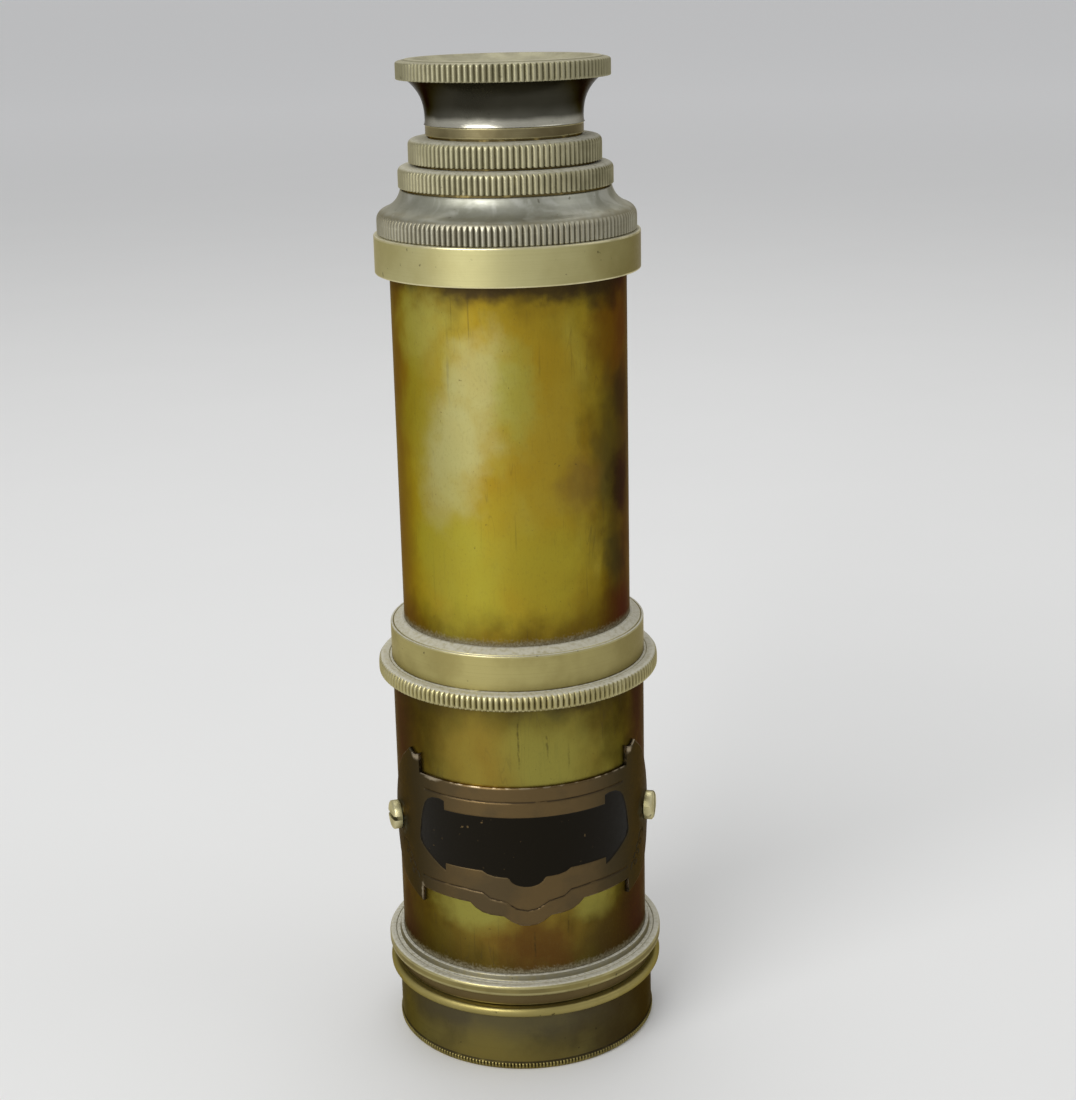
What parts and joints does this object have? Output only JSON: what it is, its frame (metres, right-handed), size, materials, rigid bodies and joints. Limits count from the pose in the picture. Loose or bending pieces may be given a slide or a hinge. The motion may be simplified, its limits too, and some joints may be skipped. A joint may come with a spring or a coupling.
{
  "type": "spyglass",
  "caption": "Pocket brass spyglass with nested pull-out draws, knurled collars, a plate screwed to the front tube, glass lenses and a push-on lens cap; stored pushed together.",
  "frame": {"origin": "middle of the lens cap's flat underside, which the spyglass stands on", "axes": "+Z along the tubes towards the eyepiece; the plate faces -Y"},
  "size_m": [0.0405, 0.0404, 0.1401],
  "materials": {
    "cap_brass": "dark olive satin brass",
    "mount_brass": "yellow satin brass with polished edges",
    "blackened_brass": "chemically blackened, matt",
    "glass": "polished clear glass",
    "front_tube_lacquer": "old amber lacquer over brass, mottled and streaked",
    "plate_copper": "coppery brown satin",
    "screw_brass": "bright turned brass",
    "satin_brass": "satin brass, dusty on top",
    "main_tube_lacquer": "olive-gold lacquer over brass, mottled",
    "end_ring_brass": "pale satin brass",
    "dome_grey_brass": "grey tarnished brass, semi-gloss",
    "draw_brass": "bright drawn brass",
    "knurled_brass": "tarnished pale brass, knurled",
    "draw_3_band_brass": "brownish satin brass",
    "bell_bronze": "dark polished bronze finish"
  },
  "bodies": {
    "barrel": {"objective_mount_ring": "mount_brass", "objective_cell": "blackened_brass", "objective_crown_lens": "glass", "objective_flint_lens": "glass", "objective_retaining_ring": "blackened_brass", "front_tube": "front_tube_lacquer", "plate": "plate_copper", "plate_screws": "screw_brass", "joint_collar": "satin_brass", "main_tube": "main_tube_lacquer", "tube_end_ring": "end_ring_brass", "barrel_collar": "dome_grey_brass"},
    "draw_1": {"draw_1_tube": "draw_brass", "draw_1_collar": "knurled_brass", "draw_1_stop_ring": "blackened_brass"},
    "draw_2": {"draw_2_tube": "draw_brass", "draw_2_collar": "knurled_brass", "draw_2_stop_ring": "blackened_brass"},
    "draw_3": {"draw_3_tube": "draw_brass", "draw_3_collar": "draw_3_band_brass", "draw_3_stop_ring": "blackened_brass", "eyepiece_bell": "bell_bronze", "eyepiece_rim": "knurled_brass", "eyepiece_lens_tube": "blackened_brass", "eye_lens": "glass", "eye_lens_ring": "blackened_brass", "field_stop": "blackened_brass", "field_lens": "glass", "field_lens_ring": "blackened_brass", "erector_tube": "blackened_brass", "erector_front_lens": "glass", "erector_front_ring": "blackened_brass", "erector_stop": "blackened_brass", "erector_rear_lens": "glass", "erector_rear_ring": "blackened_brass"},
    "lens_cap": {"lens_cap": "cap_brass"}
  },
  "joints": [
    {"name": "draw_1_slide", "type": "slide", "parent": "barrel", "child": "draw_1", "axis": [0, 0, 1], "range_m": [0, 0.09]},
    {"name": "draw_2_slide", "type": "slide", "parent": "draw_1", "child": "draw_2", "axis": [0, 0, 1], "range_m": [0, 0.09]},
    {"name": "draw_3_slide", "type": "slide", "parent": "draw_2", "child": "draw_3", "axis": [0, 0, 1], "range_m": [0, 0.09]},
    {"name": "lens_cap_pull", "type": "slide", "parent": "lens_cap", "child": "barrel", "axis": [0, 0, 1], "range_m": [0, 0.02]}
  ]
}
